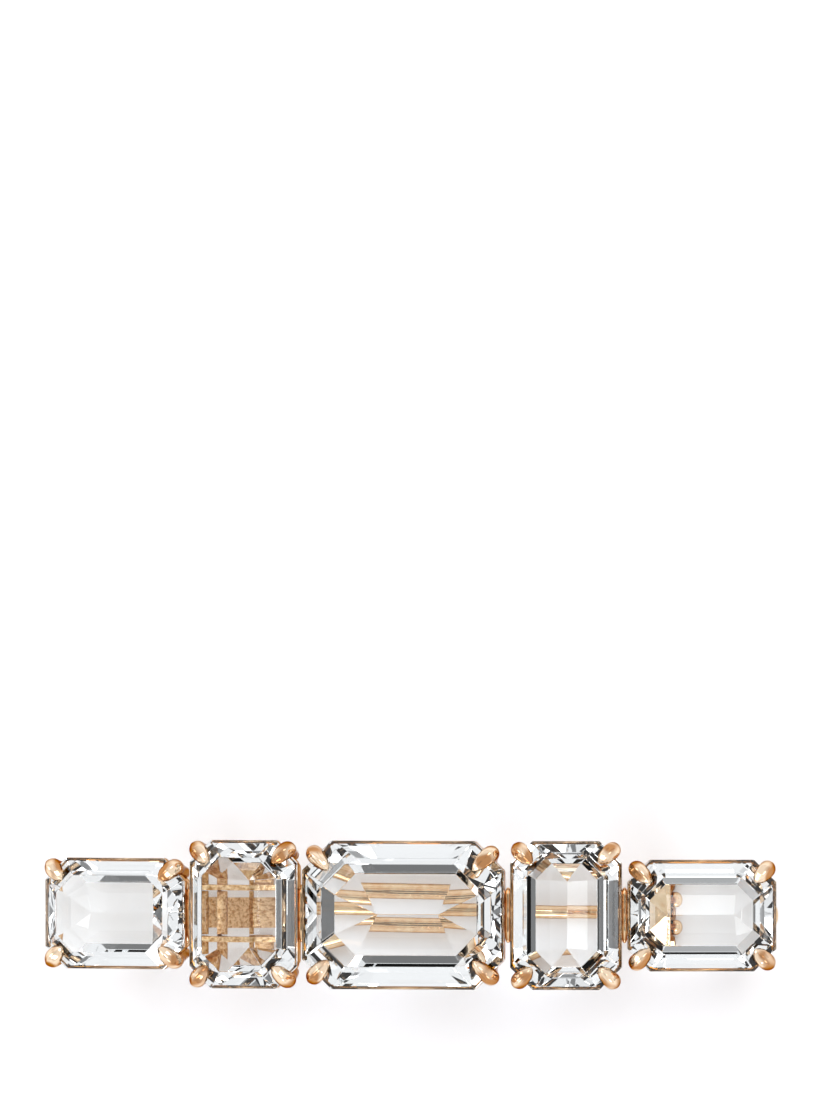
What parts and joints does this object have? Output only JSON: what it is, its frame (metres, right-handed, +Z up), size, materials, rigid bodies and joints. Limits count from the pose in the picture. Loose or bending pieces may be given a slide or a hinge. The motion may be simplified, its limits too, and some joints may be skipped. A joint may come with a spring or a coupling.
{
  "type": "rhinestone hair clip",
  "caption": "Arched bar hair clip with a row of claw-set step-cut crystals and a hinged wire clasp that snaps into a sprung catch at the back",
  "frame": {"origin": "middle of the clip's outline, at the level of the surface it lies on, under the hinge and catch feet", "axes": "+X along the row of crystals from the hinge end towards the catch end, +Y across the row, +Z up through the crystals' tables"},
  "size_m": [0.0804, 0.0162, 0.0157],
  "materials": {
    "crystal": "clear, polished facets",
    "polished_gold": "gold plated and polished",
    "satin_gold": "gold plated over a fine blasted surface"
  },
  "bodies": {
    "frame": {"crystal_left_end": "crystal", "crystal_left": "crystal", "crystal_centre": "crystal", "crystal_right": "crystal", "crystal_right_end": "crystal", "upper_rail_left_end": "polished_gold", "upper_rail_left": "polished_gold", "upper_rail_centre": "polished_gold", "upper_rail_right": "polished_gold", "upper_rail_right_end": "polished_gold", "lower_rail_left_end": "polished_gold", "lower_rail_left": "polished_gold", "lower_rail_centre": "polished_gold", "lower_rail_right": "polished_gold", "lower_rail_right_end": "polished_gold", "claws_left_end": "polished_gold", "claws_left": "polished_gold", "claws_centre": "polished_gold", "claws_right": "polished_gold", "claws_right_end": "polished_gold", "braze_seams": "polished_gold", "hinge_bracket": "satin_gold", "hinge_pin": "polished_gold", "catch_plate": "polished_gold", "catch_legs": "polished_gold"},
    "tongue": {"clasp_strap": "satin_gold", "clasp_wire": "polished_gold"}
  },
  "joints": [
    {"name": "tongue_hinge", "type": "hinge", "parent": "frame", "child": "tongue", "pos_m": [-0.02022, 0, 0.0039], "axis": [0, 1, 0], "range_deg": [0, 100]}
  ]
}
